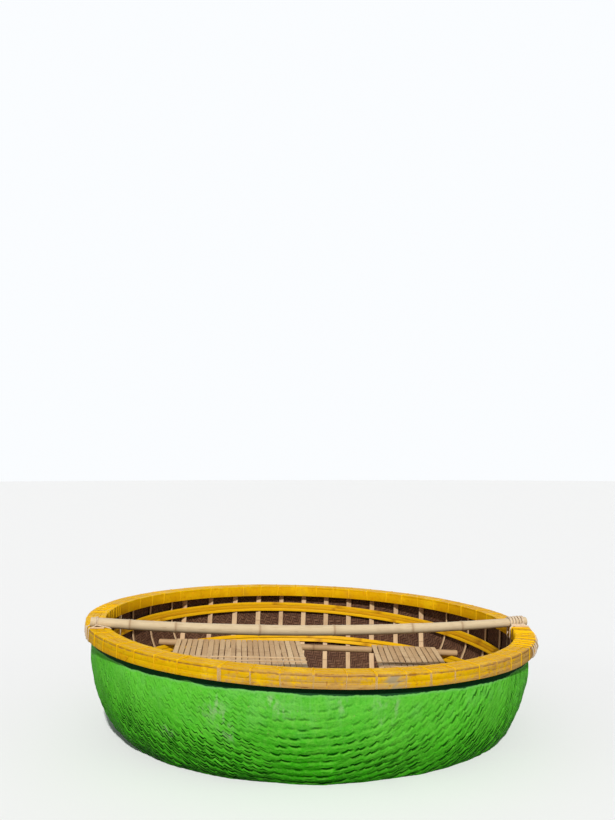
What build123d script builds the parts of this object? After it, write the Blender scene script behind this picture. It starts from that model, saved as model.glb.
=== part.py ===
from build123d import *
from math import asin, cos, degrees, radians, sin, sqrt
import os

# Round basket boat of woven bamboo. Sizes in millimetres.
# The origin is the middle of the laden waterline, +Z is up, +X is to the right,
# and the cross pole lies a little askew on the near side (-Y).

# Rim and water
RIM_RADIUS = 1000          # outside of the rim laths
RIM_INSIDE = 917           # inside of the rim laths
RIM_TOP = 420              # top of the rim above the water
CAP_THICK = 8              # laths laid flat on top of the rim
RIM_DEPTH = 51             # top of the rim to the underside of its bundles

# Bowl: straight collar, bilge, turn, and a nearly flat bottom, each tangent to the next
HULL_RADIUS = 972
HULL_WALL = 11
HULL_EDGE = RIM_TOP - CAP_THICK
COLLAR_END = RIM_TOP - 110
BILGE_RADIUS = 480
BILGE_END = 28             # degrees below level where the bilge ends
TURN_RADIUS = 420
TURN_END = 75              # degrees below level where the turn ends

# Ribs are split bamboo in two layers, laid across each other
RIB_WIDE = 26
RIB_THICK = 6
RIB_PITCH = 129
RIB_FIRST = -675           # the first rib's distance from the middle
RIB_COUNT = 11
RIB_TOP = RIM_TOP - RIM_DEPTH

# Hoops hold the ribs out against the wall. Each is a row of bent strips, one above the other,
# which show as one band with a groove between two strips.
HOOP_THICK = 8
GROOVE_WIDE = 2
GROOVE_DEEP = 3
# name, height of the top edge in the middle, strips, strip height, tilt in degrees, bearing of the high side
HOOPS = [
    ("hoop_upper", RIM_TOP - 146, 3, 14, 3.24, 110.8),
    ("hoop_lower", RIM_TOP - 266, 2, 17, 0, 0),
]

# Bench of bamboo slats on two bearers, whose ends sit on the lower hoop
BEARER_RADIUS = 16
BEARER_NEAR = -150
BEARER_FAR = 530
BEARER_SINK = 2            # depth of the notch over the hoop, and of the flat under the slats
SLAT_WIDE = 25
SLAT_PITCH = 28
SLAT_THICK = 8
SLAT_LONG = 715
BATTEN_WIDE = 14
BATTEN_THICK = 4
# name, middle of the panel along X, number of slats, turn in degrees
PANELS = [
    ("bench_slats_left", -335, 23, 4.8),
    ("bench_slats_right", 500, 12, 0),
]
BATTEN_PLACES = (-95, -25)  # along a panel, from its middle

# Cross pole of whole bamboo, bowed down between its ends and lashed on a little askew
POLE_TURN = 11.6           # degrees, its right end towards the far side
POLE_PLACE = -200          # its distance from the middle
POLE_HALF = 972
POLE_SAG = 39
POLE_SEAT = 3              # depth of the flat where it lies on the rim
POLE_BORE = 13             # radius and depth of the hollow in its open ends
POLE_BORE_DEEP = 40
JOINT_RISE = 2             # how far a bamboo joint stands out of the pole
JOINT_WIDE = 8
# the pole's lengths from joint to joint: where each starts and ends along it, and its radius
POLE_LENGTHS = [
    (-POLE_HALF, -811, 20),
    (-811, -621, 21),
    (-621, -263, 22),
    (-263, 66, 22.5),
    (66, 423, 22),
    (423, 658, 21),
    (658, POLE_HALF, 19.5),
]

# Ties between the rim and the lower hoop: name, bearing in degrees
TIE_RADIUS = 2.5
TIE_PLACE = 916
HOOP_TIES = [("hoop_tie_left", 170.5), ("hoop_tie_right", 1.4)]

WIDE = 2400                # wider than the boat, for cutting shapes


def arc_at(centre, radius, start, end):
    """Arc in the upright plane, its angles counted down from level."""
    places = []
    for angle in (start, (start + end) / 2, end):
        turn = radians(angle)
        places.append((centre[0] + radius * cos(turn), centre[1] - radius * sin(turn)))
    return ThreePointArc(*places)


def bowl_curve(inset):
    """The bowl's half section, taken in by inset from the outside, from the collar to the axis."""
    bilge = (HULL_RADIUS - BILGE_RADIUS, COLLAR_END)
    step = BILGE_RADIUS - TURN_RADIUS
    turn = (bilge[0] + step * cos(radians(BILGE_END)), bilge[1] - step * sin(radians(BILGE_END)))
    slope = radians(TURN_END)
    bottom_radius = TURN_RADIUS + turn[0] / cos(slope)
    bottom = (0, turn[1] + (bottom_radius - TURN_RADIUS) * sin(slope))
    return [
        arc_at(bilge, BILGE_RADIUS - inset, 0, BILGE_END),
        arc_at(turn, TURN_RADIUS - inset, BILGE_END, TURN_END),
        arc_at(bottom, bottom_radius - inset, TURN_END, 90),
    ]


def bowl_layer(outside, inside, top):
    """A shell that follows the bowl between two insets, open at the top."""
    outer = bowl_curve(outside)
    inner = bowl_curve(inside)
    wide = HULL_RADIUS - outside
    narrow = HULL_RADIUS - inside
    edges = outer + inner
    edges.append(Line((wide, top), (wide, COLLAR_END)))
    edges.append(Line((narrow, top), (narrow, COLLAR_END)))
    edges.append(Line((wide, top), (narrow, top)))
    edges.append(Line(outer[-1] @ 1, inner[-1] @ 1))
    return revolve(Plane.XZ * make_face(edges), Axis.Z)


def bowl_space(inset, top):
    """The room inside the bowl, up to a height."""
    curve = bowl_curve(inset)
    wide = HULL_RADIUS - inset
    edges = list(curve)
    edges.append(Line((wide, top), (wide, COLLAR_END)))
    edges.append(Line((wide, top), (0, top)))
    edges.append(Line((0, top), curve[-1] @ 1))
    return revolve(Plane.XZ * make_face(edges), Axis.Z)


def ring(inside, outside, low, high):
    """A bent lath as a ring with an upright section."""
    section = Pos((inside + outside) / 2, (low + high) / 2) * Rectangle(outside - inside, high - low)
    return revolve(Plane.XZ * section, Axis.Z)


def hull():
    return bowl_layer(0, HULL_WALL, HULL_EDGE)


def rim_laths():
    """Laths bent round the hull's edge, outside, inside and on top."""
    under = RIM_TOP - RIM_DEPTH
    top = RIM_TOP - CAP_THICK
    half = (under + top) / 2
    hull_inside = HULL_RADIUS - HULL_WALL
    # name, inside radius, outside radius, bottom, top
    laths = [
        ("rim_outer_core", HULL_RADIUS, 985, under, top),
        ("rim_outer_upper", 985, RIM_RADIUS, half, top),
        ("rim_outer_lower", 985, RIM_RADIUS, under, half),
        ("rim_inner_core", 946, hull_inside, under, top),
        ("rim_inner_middle", 932, 946, under, top),
        ("rim_inner_face", RIM_INSIDE, 932, under, top),
        ("rim_cap_inner", RIM_INSIDE, 944, top, RIM_TOP),
        ("rim_cap_middle", 944, 972, top, RIM_TOP),
        ("rim_cap_outer", 972, RIM_RADIUS, top, RIM_TOP),
    ]
    return {name: ring(inside, outside, low, high) for name, inside, outside, low, high in laths}


def ribs(outside, across):
    """One layer of ribs. Those that run across lie along X, the others along Y."""
    layer = bowl_layer(outside, outside + RIB_THICK, RIB_TOP)
    strips = []
    for number in range(RIB_COUNT):
        place = RIB_FIRST + number * RIB_PITCH
        if across:
            slab = Pos(0, place, 0) * Box(WIDE, RIB_WIDE, WIDE)
        else:
            slab = Pos(place, 0, 0) * Box(RIB_WIDE, WIDE, WIDE)
        strips.append(layer & slab)
    return Compound(children=[solid for strip in strips for solid in strip.solids()])


def hoop(top, count, high, tilt, bearing):
    """A band that follows the ribs' inner faces, cut between tilted planes, with its strips' grooves."""
    outside = HULL_WALL + 2 * RIB_THICK
    inside = outside + HOOP_THICK
    layer = bowl_layer(outside, inside, RIB_TOP)
    face = bowl_layer(inside - GROOVE_DEEP, inside + GROOVE_DEEP, RIB_TOP)
    tilted = Pos(0, 0, top) * Rot(0, 0, bearing) * Rot(0, -tilt, 0)
    whole = count * high + (count - 1) * GROOVE_WIDE
    band = layer & (tilted * Pos(0, 0, -whole / 2) * Box(WIDE, WIDE, whole))
    for number in range(1, count):
        middle = GROOVE_WIDE / 2 - number * (high + GROOVE_WIDE)
        band -= face & (tilted * Pos(0, 0, middle) * Box(WIDE, WIDE, GROOVE_WIDE))
    return band


def bearer(place, hoop_top, notch):
    """A round bearer along X, notched over the hoop and flattened under the slats."""
    middle = hoop_top - BEARER_SINK + BEARER_RADIUS
    pole = Pos(0, place, middle) * Rot(0, 90, 0) * Cylinder(BEARER_RADIUS, WIDE)
    pole &= bowl_space(HULL_WALL + RIB_THICK, RIM_TOP)
    shave = Pos(0, place, middle + 2 * BEARER_RADIUS - BEARER_SINK) * Box(WIDE, WIDE, 2 * BEARER_RADIUS)
    return pole - shave - notch


def bench_panel(middle, count, turn, low):
    """Slats side by side from the near bearer to the far one, and two battens across them."""
    slats = []
    depth = (BEARER_NEAR + BEARER_FAR) / 2
    place = Pos(middle, depth, low) * Rot(0, 0, turn)
    for number in range(count):
        side = (number - (count - 1) / 2) * SLAT_PITCH
        slats.append(place * Pos(side, 0, SLAT_THICK / 2) * Box(SLAT_WIDE, SLAT_LONG, SLAT_THICK))
    battens = []
    long = count * SLAT_PITCH
    for along in BATTEN_PLACES:
        height = SLAT_THICK + BATTEN_THICK / 2
        battens.append(place * Pos(0, along, height) * Box(long, BATTEN_WIDE, BATTEN_THICK))
    return Compound(children=slats), Compound(children=battens)


def pole_spot(along, bow, lift):
    """Where the pole's axis is at a distance from its middle, and how far it slopes there."""
    rise = bow - sqrt(bow ** 2 - along ** 2)
    return Rot(0, 0, POLE_TURN) * Pos(along, POLE_PLACE, lift + rise) * Rot(0, -degrees(asin(along / bow)), 0)


def cross_pole(rim_cap):
    """Bamboo pole on an arc: a straight length from joint to joint, a collar at each joint, open ends."""
    bow = (POLE_HALF ** 2 + POLE_SAG ** 2) / (2 * POLE_SAG)
    rim_edge = sqrt(RIM_INSIDE ** 2 - POLE_PLACE ** 2)
    edge_rise = bow - sqrt(bow ** 2 - rim_edge ** 2)
    lift = RIM_TOP - POLE_SEAT + POLE_LENGTHS[-1][2] - edge_rise
    pole = None
    for start, end, radius in POLE_LENGTHS:
        axis = Line(pole_spot(start, bow, lift).position, pole_spot(end, bow, lift).position)
        length = extrude(Plane(origin=axis @ 0, z_dir=axis % 0) * Circle(radius), axis.length)
        if pole is None:
            pole = length
        else:
            collar = Rot(0, 90, 0) * Cylinder(radius + JOINT_RISE, JOINT_WIDE)
            pole += length + pole_spot(start, bow, lift) * collar
    for end in (-POLE_HALF, POLE_HALF):
        pole -= pole_spot(end, bow, lift) * Rot(0, 90, 0) * Cylinder(POLE_BORE, 2 * POLE_BORE_DEEP)
    return pole - rim_cap


def hoop_tie(bearing, hoop_top):
    """Cord pulled tight from the rim straight down to the lower hoop."""
    high = RIM_TOP - RIM_DEPTH
    turn = radians(bearing)
    cord = Cylinder(TIE_RADIUS, high - hoop_top)
    return Pos(TIE_PLACE * cos(turn), TIE_PLACE * sin(turn), (high + hoop_top) / 2) * cord


def build():
    parts = {"woven_hull": hull()}
    parts.update(rim_laths())
    parts["ribs_across"] = ribs(HULL_WALL, True)
    parts["ribs_lengthways"] = ribs(HULL_WALL + RIB_THICK, False)
    for name, top, count, high, tilt, bearing in HOOPS:
        parts[name] = hoop(top, count, high, tilt, bearing)
    hoop_top = HOOPS[1][1]
    parts["bench_bearer_near"] = bearer(BEARER_NEAR, hoop_top, parts["hoop_lower"])
    parts["bench_bearer_far"] = bearer(BEARER_FAR, hoop_top, parts["hoop_lower"])
    slat_low = hoop_top + 2 * BEARER_RADIUS - 2 * BEARER_SINK
    for name, middle, count, turn in PANELS:
        slats, battens = bench_panel(middle, count, turn, slat_low)
        parts[name] = slats
        parts[name.replace("slats", "battens")] = battens
    rim_cap = ring(RIM_INSIDE, RIM_RADIUS, RIM_TOP - CAP_THICK, RIM_TOP)
    parts["cross_pole"] = cross_pole(rim_cap)
    for name, bearing in HOOP_TIES:
        parts[name] = hoop_tie(bearing, hoop_top)
    return parts


os.makedirs("parts", exist_ok=True)
for node, shape in build().items():
    export_step(shape, f"parts/{node}.step")
    print(node, len(shape.solids()), round(shape.volume / 1000), "cm3")
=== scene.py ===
from math import atan, cos, pi, radians, sin, sqrt, tan

import bmesh
import bpy
import numpy as np
from mathutils import Matrix, Vector


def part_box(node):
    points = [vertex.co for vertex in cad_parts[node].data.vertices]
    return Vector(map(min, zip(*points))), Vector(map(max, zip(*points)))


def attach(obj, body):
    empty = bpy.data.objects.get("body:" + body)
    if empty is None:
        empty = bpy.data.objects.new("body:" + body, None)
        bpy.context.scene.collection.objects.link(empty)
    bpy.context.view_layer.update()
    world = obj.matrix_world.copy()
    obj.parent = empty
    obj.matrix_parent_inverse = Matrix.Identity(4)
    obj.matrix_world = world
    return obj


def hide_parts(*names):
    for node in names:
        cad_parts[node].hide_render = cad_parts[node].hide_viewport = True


# The looks of a round basket boat of woven bamboo. Sizes are in metres and angles in degrees,
# apart from those written with radians(). Bearings are counted from +X towards +Y.

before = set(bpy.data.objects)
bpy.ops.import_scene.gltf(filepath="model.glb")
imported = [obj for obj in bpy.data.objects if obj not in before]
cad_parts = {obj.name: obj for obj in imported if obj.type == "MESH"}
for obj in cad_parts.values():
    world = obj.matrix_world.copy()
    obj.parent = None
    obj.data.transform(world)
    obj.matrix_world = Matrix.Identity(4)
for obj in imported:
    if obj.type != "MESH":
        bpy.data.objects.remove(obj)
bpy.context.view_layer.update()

# Driving sizes, read from the frame where it has them
RIM_RADIUS = round(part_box("rim_cap_outer")[1].x, 3)
RIM_TOP = round(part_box("rim_cap_outer")[1].z, 3)
CAP_LOW = round(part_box("rim_cap_outer")[0].z, 3)
RIM_UNDER = round(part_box("rim_outer_lower")[0].z, 3)
RIM_INSIDE = 0.917
HULL_RADIUS = round(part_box("woven_hull")[1].x, 3)
HULL_WALL = 0.011
COLLAR_END = RIM_TOP - 0.110
BILGE_RADIUS = 0.480
BILGE_END = radians(28)
TURN_RADIUS = 0.420
TURN_END = radians(75)

# The hull's section is an upright collar and three arcs: bilge, turn and bottom. Their middles:
BILGE_X = HULL_RADIUS - BILGE_RADIUS
TURN_X = BILGE_X + (BILGE_RADIUS - TURN_RADIUS) * cos(BILGE_END)
TURN_Z = COLLAR_END - (BILGE_RADIUS - TURN_RADIUS) * sin(BILGE_END)
BOTTOM_RADIUS = TURN_RADIUS + TURN_X / cos(TURN_END)
BOTTOM_Z = TURN_Z + (BOTTOM_RADIUS - TURN_RADIUS) * sin(TURN_END)
# Lengths along its outside, from the middle of the bottom up to the rim
REACH_BOTTOM = BOTTOM_RADIUS * (pi / 2 - TURN_END)
REACH_TURN = TURN_RADIUS * (TURN_END - BILGE_END)
REACH_BILGE = BILGE_RADIUS * BILGE_END
REACH_CURVED = REACH_BOTTOM + REACH_TURN + REACH_BILGE
REACH_ALL = REACH_CURVED + (CAP_LOW - COLLAR_END)


# Shapes shared by the pieces

def alone(piece):
    """Makes a piece the only one selected."""
    bpy.ops.object.select_all(action="DESELECT")
    piece.select_set(True)
    bpy.context.view_layer.objects.active = piece


def edit(piece, kind, selected="DESELECT"):
    """Opens a piece in edit mode with none of it selected, or all of it."""
    alone(piece)
    bpy.ops.object.mode_set(mode="EDIT")
    bpy.ops.mesh.select_mode(type=kind)
    bpy.ops.mesh.select_all(action=selected)


def stop_edit():
    bpy.ops.object.mode_set(mode="OBJECT")


def select_border():
    """Selects the open edges of the piece that is in edit mode."""
    bpy.ops.mesh.select_all(action="DESELECT")
    bpy.ops.mesh.select_mode(type="EDGE")
    bpy.ops.mesh.select_non_manifold(extend=False, use_wire=False, use_multi_face=False,
                                     use_non_contiguous=False, use_verts=False)


def started(name):
    """Names the primitive just added and takes its place and size into its mesh."""
    piece = bpy.context.active_object
    piece.name = piece.data.name = name
    alone(piece)
    bpy.ops.object.transform_apply(location=True, rotation=True, scale=True)
    return piece


def joined(parts, name):
    """Joins parts into one piece."""
    alone(parts[0])
    for part in parts:
        part.select_set(True)
    if len(parts) > 1:
        bpy.ops.object.join()
    parts[0].name = parts[0].data.name = name
    return parts[0]


def finished(piece, finish, slot, *nodes):
    """Gives a piece its finish and its place in the frame."""
    if finish is not None:
        piece.data.materials.clear()
        piece.data.materials.append(finish)
    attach(piece, "root")
    if nodes:
        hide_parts(*nodes)
    return piece


def assembled(parts, name, finish, slot, *nodes, angle=35):
    """Joins parts into one finished piece, smooth where its faces meet at less than an angle."""
    whole = joined(parts, name)
    alone(whole)
    bpy.ops.object.shade_smooth_by_angle(angle=radians(angle))
    return finished(whole, finish, slot, *nodes)


def spots_of(piece):
    spots = np.empty(len(piece.data.vertices) * 3)
    piece.data.vertices.foreach_get("co", spots)
    return spots.reshape(-1, 3)


def move_to(piece, spots):
    piece.data.vertices.foreach_set("co", np.ascontiguousarray(spots).ravel())
    piece.data.update()


def mark_points(piece, name, values):
    """Keeps a number at each point, or one number at all of them."""
    kept = piece.data.attributes.get(name) or piece.data.attributes.new(name, "FLOAT", "POINT")
    values = np.broadcast_to(np.asarray(values, np.float32), len(piece.data.vertices))
    kept.data.foreach_set("value", np.ascontiguousarray(values))


def values_of(piece, name):
    values = np.empty(len(piece.data.vertices))
    piece.data.attributes[name].data.foreach_get("value", values)
    return values


def mark_map(piece, along, across):
    """Keeps two numbers of each point as the piece's map, for patterns that follow its surface."""
    mesh = piece.data
    corners = np.empty(len(mesh.loops), int)
    mesh.loops.foreach_get("vertex_index", corners)
    layer = mesh.uv_layers[0] if mesh.uv_layers else mesh.uv_layers.new()
    layer.name = "grain"
    layer.data.foreach_set("uv", np.stack([along, across], 1)[corners].ravel())


def mark_grain(piece, draw, shift, tone=None, across=None):
    """Maps a straight piece by how far each point is along and across it, from a place drawn within
    shift, and keeps the piece's own tone, drawn where none is given."""
    tone = draw.random() if tone is None else tone
    spots = spots_of(piece)
    across = spots[:, 1] + spots[:, 2] if across is None else across
    mark_map(piece, spots[:, 0] + draw.uniform(0, shift), across)
    mark_points(piece, "tone", tone)


def select_lengthways(piece):
    """Opens a bar that lies along X in edit mode, with its lengthways edges selected."""
    edit(piece, "EDGE")
    mesh = bmesh.from_edit_mesh(piece.data)
    for edge in mesh.edges:
        one, other = edge.verts[0].co, edge.verts[1].co
        edge.select = abs(one.y - other.y) < 1e-7 and abs(one.z - other.z) < 1e-7
    bmesh.update_edit_mesh(piece.data)


def ringed(piece, places):
    """Cuts a bar that lies along X into rings of vertices, one at each place."""
    select_lengthways(piece)
    bpy.ops.mesh.subdivide(number_cuts=len(places) - 2)
    stop_edit()
    spots = spots_of(piece)
    low, high = spots[:, 0].min(), spots[:, 0].max()
    ring = np.rint((spots[:, 0] - low) / (high - low) * (len(places) - 1)).astype(int)
    spots[:, 0] = np.asarray(places)[ring]
    move_to(piece, spots)
    return piece


def straight_lath(wide, thick, places, ease):
    """A straight lath along X with eased edges and a ring at each place."""
    bpy.ops.object.select_all(action="DESELECT")
    bpy.ops.mesh.primitive_cube_add(size=1, location=(0.5, 0, 0), scale=(1, wide, thick))
    lath = started("lath")
    select_lengthways(lath)
    bpy.ops.mesh.bevel(offset=ease, segments=2, affect="EDGES")
    stop_edit()
    return ringed(lath, places)


def straight_rod(radius, places, sides):
    """A straight round rod along X with a ring at each place."""
    bpy.ops.object.select_all(action="DESELECT")
    bpy.ops.mesh.primitive_cylinder_add(vertices=sides, radius=radius, depth=1,
                                        location=(0.5, 0, 0), rotation=(0, pi / 2, 0))
    return ringed(started("rod"), places)


def line_length(line):
    return float(np.linalg.norm(np.diff(np.asarray(line), axis=0), axis=1).sum())


def reach_of(line):
    """How far along a line each of its points is."""
    return np.concatenate([[0], np.cumsum(np.linalg.norm(np.diff(line, axis=0), axis=1))])


def lay_along(piece, line, across):
    """Bends a straight piece, which starts at X = 0, onto a line. across is where its Y side faces."""
    line = np.asarray(line, float)
    reach = reach_of(line)
    ahead = np.gradient(line, reach, axis=0)
    ahead /= np.linalg.norm(ahead, axis=1)[:, None]
    side = np.broadcast_to(np.asarray(across, float), line.shape)
    side = side - (side * ahead).sum(1)[:, None] * ahead
    side /= np.linalg.norm(side, axis=1)[:, None]
    up = np.cross(ahead, side)
    spots = spots_of(piece)

    def at(values):
        return np.stack([np.interp(spots[:, 0], reach, values[:, k]) for k in range(3)], 1)

    move_to(piece, at(line) + at(side) * spots[:, 1:2] + at(up) * spots[:, 2:3])
    return piece


def sway(along, length, seed):
    """A smooth uneven wave of height about 1, from sines of unlike lengths."""
    draw = np.random.default_rng(seed)
    total = np.zeros_like(np.asarray(along, float))
    for _ in range(4):
        total += np.sin(2 * pi * along / (length * draw.uniform(0.6, 1.7)) + draw.uniform(0, 2 * pi))
    return total / 2


def uneven(across, along, length, seed):
    """A smooth uneven field over a plane, of height about 1."""
    draw = np.random.default_rng(seed)
    total = np.zeros_like(across)
    for _ in range(9):
        turn = draw.uniform(0, 2 * pi)
        reach = length * draw.uniform(0.6, 1.8)
        total += np.sin(2 * pi * (across * cos(turn) + along * sin(turn)) / reach + draw.uniform(0, 2 * pi))
    return total / 3


def rising(value, start, over):
    """Rises evenly from 0 at start to 1 at start + over, and is level on either side."""
    return np.clip((value - start) / over, 0, 1)


def hump(far, half):
    """A smooth hump: 1 in its middle, and down to 0.37 at half."""
    return np.exp(-(far / half) ** 2)


def polar(spots):
    """How far each spot is from the boat's upright axis, and its bearing."""
    return np.hypot(spots[:, 0], spots[:, 1]), np.degrees(np.arctan2(spots[:, 1], spots[:, 0])) % 360


def around(radius, turn, height):
    """Points at a radius and a height, at each turn about the boat's middle."""
    return np.stack([radius * np.cos(turn), radius * np.sin(turn), np.broadcast_to(height, turn.shape)], 1)


def bowl_section(reach, inset):
    """Radius and height on the bowl's wall, and the angle its outside faces below level, at a
    distance from its middle along the outside. inset is how far inside the outer face."""
    reach = np.asarray(reach, float)
    past_bottom = reach - REACH_BOTTOM
    past_turn = past_bottom - REACH_TURN
    past_bilge = past_turn - REACH_BILGE
    parts = [past_bottom < 0, past_turn < 0, past_bilge < 0]
    face = np.select(parts, [pi / 2 - reach / BOTTOM_RADIUS, TURN_END - past_bottom / TURN_RADIUS,
                             BILGE_END - past_turn / BILGE_RADIUS], 0.0)
    size = np.select(parts, [BOTTOM_RADIUS, TURN_RADIUS, BILGE_RADIUS], BILGE_RADIUS) - inset
    middle_x = np.select(parts, [0.0, TURN_X, BILGE_X], BILGE_X)
    middle_z = np.select(parts, [BOTTOM_Z, TURN_Z, COLLAR_END], COLLAR_END + np.maximum(past_bilge, 0))
    return middle_x + size * np.cos(face), middle_z - size * np.sin(face), face


def bowl_height(radius, inset):
    """Height of the wall at a radius, at an inset from the outside."""
    wide, high, _ = bowl_section(np.linspace(0, REACH_CURVED, 1500), inset)
    return np.interp(radius, wide, high)


def wall_radius(height, inset):
    """Radius of the wall at a height, at an inset from the outside."""
    radius, level, _ = bowl_section(np.linspace(0, REACH_ALL, 3000), inset)
    return np.interp(height, level, radius)


# Finishes

class Pattern:
    """A number or a colour at each point of a surface. A sum with it adds the node that works it out."""

    def __init__(self, socket):
        self.socket = socket

    def __add__(self, other):
        return maths("ADD", self, other)

    def __sub__(self, other):
        return maths("SUBTRACT", self, other)

    def __rsub__(self, other):
        return maths("SUBTRACT", other, self)

    def __mul__(self, other):
        return maths("MULTIPLY", self, other)

    def __truediv__(self, other):
        return maths("DIVIDE", self, other)


def feed(socket, value):
    """Gives an input a pattern or a plain value."""
    if isinstance(value, Pattern):
        socket.id_data.links.new(value.socket, socket)
    else:
        socket.default_value = value


def node(tree, kind, inputs=None, **settings):
    """Adds a node, and returns what it puts out by number and by name."""
    made = tree.nodes.new(kind)
    for key, value in settings.items():
        setattr(made, key, value)
    for key, value in (inputs or {}).items():
        feed(made.inputs[key], value)
    outputs = {socket.name: Pattern(socket) for socket in made.outputs}
    outputs.update((number, Pattern(socket)) for number, socket in enumerate(made.outputs))
    return outputs


def tree_of(*values):
    """The node tree that the patterns among some values are in."""
    return next(value.socket.id_data for value in values if isinstance(value, Pattern))


def maths(how, *values):
    return node(tree_of(*values), "ShaderNodeMath", dict(enumerate(values)), operation=how)[0]


def clamped(pattern):
    """Keeps the result of the sum that made a pattern between 0 and 1."""
    pattern.socket.node.use_clamp = True
    return pattern


def highest(*patterns):
    result = patterns[0]
    for pattern in patterns[1:]:
        result = maths("MAXIMUM", result, pattern)
    return result


def ramp(value, low, high, to_low=0.0, to_high=1.0):
    inputs = {"Value": value, "From Min": low, "From Max": high, "To Min": to_low, "To Max": to_high}
    return node(tree_of(value), "ShaderNodeMapRange", inputs, interpolation_type="SMOOTHSTEP")[0]


def mix(share, first, second):
    return node(tree_of(share), "ShaderNodeMix", {0: share, 6: first, 7: second}, data_type="RGBA")[2]


def blend(share, first, second):
    """Goes from the first colour to the second as share goes from 0 to 1. Each is a pattern, or a
    colour as seen, 0 to 255."""
    return mix(share, *(value if isinstance(value, Pattern) else colour(value) for value in (first, second)))


def layered(body, *layers):
    """Lays colours over a body, from the lowest to the topmost, each where its share says."""
    for share, tone in layers:
        body = blend(share, body, tone)
    return body


def colour(seen):
    """A colour as seen, 0 to 255, as the numbers that a shader takes."""
    shares = [level / 255 for level in seen]
    return (*(s / 12.92 if s <= 0.04045 else ((s + 0.055) / 1.055) ** 2.4 for s in shares), 1.0)


def combined(x, y, z):
    return node(tree_of(x, y, z), "ShaderNodeCombineXYZ", {0: x, 1: y, 2: z})[0]


def parts_of(place):
    """The three numbers of a place."""
    parts = node(tree_of(place), "ShaderNodeSeparateXYZ", {0: place})
    return parts[0], parts[1], parts[2]


def noise(where, scale=1.0, detail=3.0, rough=0.5):
    inputs = {"Vector": where, "Scale": scale, "Detail": detail, "Roughness": rough}
    return node(tree_of(where), "ShaderNodeTexNoise", inputs)[0]


def chance(where):
    """Random numbers, one at 0 and a colour at 1, unlike from one place to the next."""
    return node(tree_of(where), "ShaderNodeTexWhiteNoise", {"Vector": where}, noise_dimensions="3D")


def attribute(tree, name):
    return node(tree, "ShaderNodeAttribute", attribute_name=name)["Fac"]


def place_in(tree):
    return node(tree, "ShaderNodeTexCoord")["Object"]


def grain_in(tree):
    return node(tree, "ShaderNodeUVMap", uv_map="grain")[0]


def new_group(name, inputs, outputs):
    """An empty group with named inputs and outputs."""
    tree = bpy.data.node_groups.new(name, "ShaderNodeTree")
    for title, value in inputs.items():
        kind = "NodeSocketVector" if isinstance(value, tuple) else "NodeSocketFloat"
        tree.interface.new_socket(title, in_out="INPUT", socket_type=kind).default_value = value
    for title in outputs:
        tree.interface.new_socket(title, in_out="OUTPUT", socket_type="NodeSocketFloat")
    return tree, node(tree, "NodeGroupInput"), tree.nodes.new("NodeGroupOutput").inputs


def fibre_group():
    """Bamboo's long fibres, as streaks and darker flecks along the grain."""
    tree, given, out = new_group("bamboo fibres", {"Fine": 900.0, "Long": 9.0}, ["Streaks", "Flecks"])
    along, across, _ = parts_of(grain_in(tree))
    along = along * given["Long"]
    across = across * given["Fine"]
    apart = attribute(tree, "tone") * 57.0
    feed(out["Streaks"], noise(combined(along, across, apart), detail=4.0, rough=0.6))
    feed(out["Flecks"], ramp(noise(combined(along * 2.2, across * 0.33, apart)), 0.56, 0.74))
    return tree


def blotch_group():
    """Soft-edged patches over the object's own space."""
    inputs = {"Size": 0.1, "Start": 0.5, "Soft": 0.1, "Place": (0.0, 0.0, 0.0), "Stretch": (1.0, 1.0, 1.0)}
    tree, given, out = new_group("blotches", inputs, ["Mask", "Cloud"])
    where = node(tree, "ShaderNodeVectorMath", {0: place_in(tree), 1: given["Place"]}, operation="ADD")[0]
    where = node(tree, "ShaderNodeVectorMath", {0: where, 1: given["Stretch"]}, operation="MULTIPLY")[0]
    cloud = noise(where, maths("DIVIDE", 1.0, given["Size"]), 5.0, 0.55)
    feed(out["Mask"], ramp(cloud, given["Start"], given["Start"] + given["Soft"]))
    feed(out["Cloud"], cloud)
    return tree


def stroke_group():
    """The scales' lower edges under paint: short slanting strokes in rows, each with its own place,
    length and depth, drawn as painted shadow, with a painted highlight on the lip below each. Row and
    Column count the weave; the strokes lie near the whole rows."""
    inputs = {"Column": 0.0, "Row": 0.0, "Slope": 0.3, "Wander": 0.3, "Width": 0.16, "Below": 1.0,
              "Seed": 0.0}
    tree, given, out = new_group("scale strokes", inputs, ["Groove", "Lip highlight"])
    high = given["Row"] + 0.5
    row = maths("FLOOR", high)
    on = node(tree, "ShaderNodeTexWhiteNoise", {"W": row + given["Seed"]}, noise_dimensions="1D")[0]
    moved = given["Column"] + on * 9.0
    cell = combined(maths("FLOOR", moved), row, given["Seed"])
    own = node(tree, "ShaderNodeSeparateColor", {0: chance(cell)[1]})
    place = maths("FRACT", moved)
    middle = given["Slope"] * (own[2] + 0.5) * (place - 0.5)
    past = maths("FRACT", high) - 0.5 - (middle + (own[0] - 0.5) * given["Wander"])
    ends = maths("POWER", maths("SINE", place * pi), 0.7)
    mark = ends * ramp(own[1], 0.0, 0.8, 0.15, 1.0)
    below = past * given["Below"] / given["Width"]
    feed(out["Groove"], ramp(maths("ABSOLUTE", past), given["Width"], 0.0) * mark)
    feed(out["Lip highlight"], ramp(below, 0.3, 1.2) * ramp(below, 2.8, 1.3) * mark)
    return tree


FIBRES = fibre_group()
BLOTCHES = blotch_group()
STROKES = stroke_group()


def fibres(tree, fine=900.0, long=9.0):
    return node(tree, "ShaderNodeGroup", {"Fine": fine, "Long": long}, node_tree=FIBRES)


def blotches(tree, size, start, soft, place=(0, 0, 0), stretch=(1, 1, 1)):
    inputs = {"Size": size, "Start": start, "Soft": soft, "Place": place, "Stretch": stretch}
    return node(tree, "ShaderNodeGroup", inputs, node_tree=BLOTCHES)


def new_finish(name, gloss=0.1):
    """A material, its node tree and its shader's inputs."""
    finish = bpy.data.materials.new(name)
    finish.use_nodes = True
    shader = next(n for n in finish.node_tree.nodes if n.type == "BSDF_PRINCIPLED").inputs
    shader["Specular IOR Level"].default_value = gloss
    return finish, finish.node_tree, shader


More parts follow.
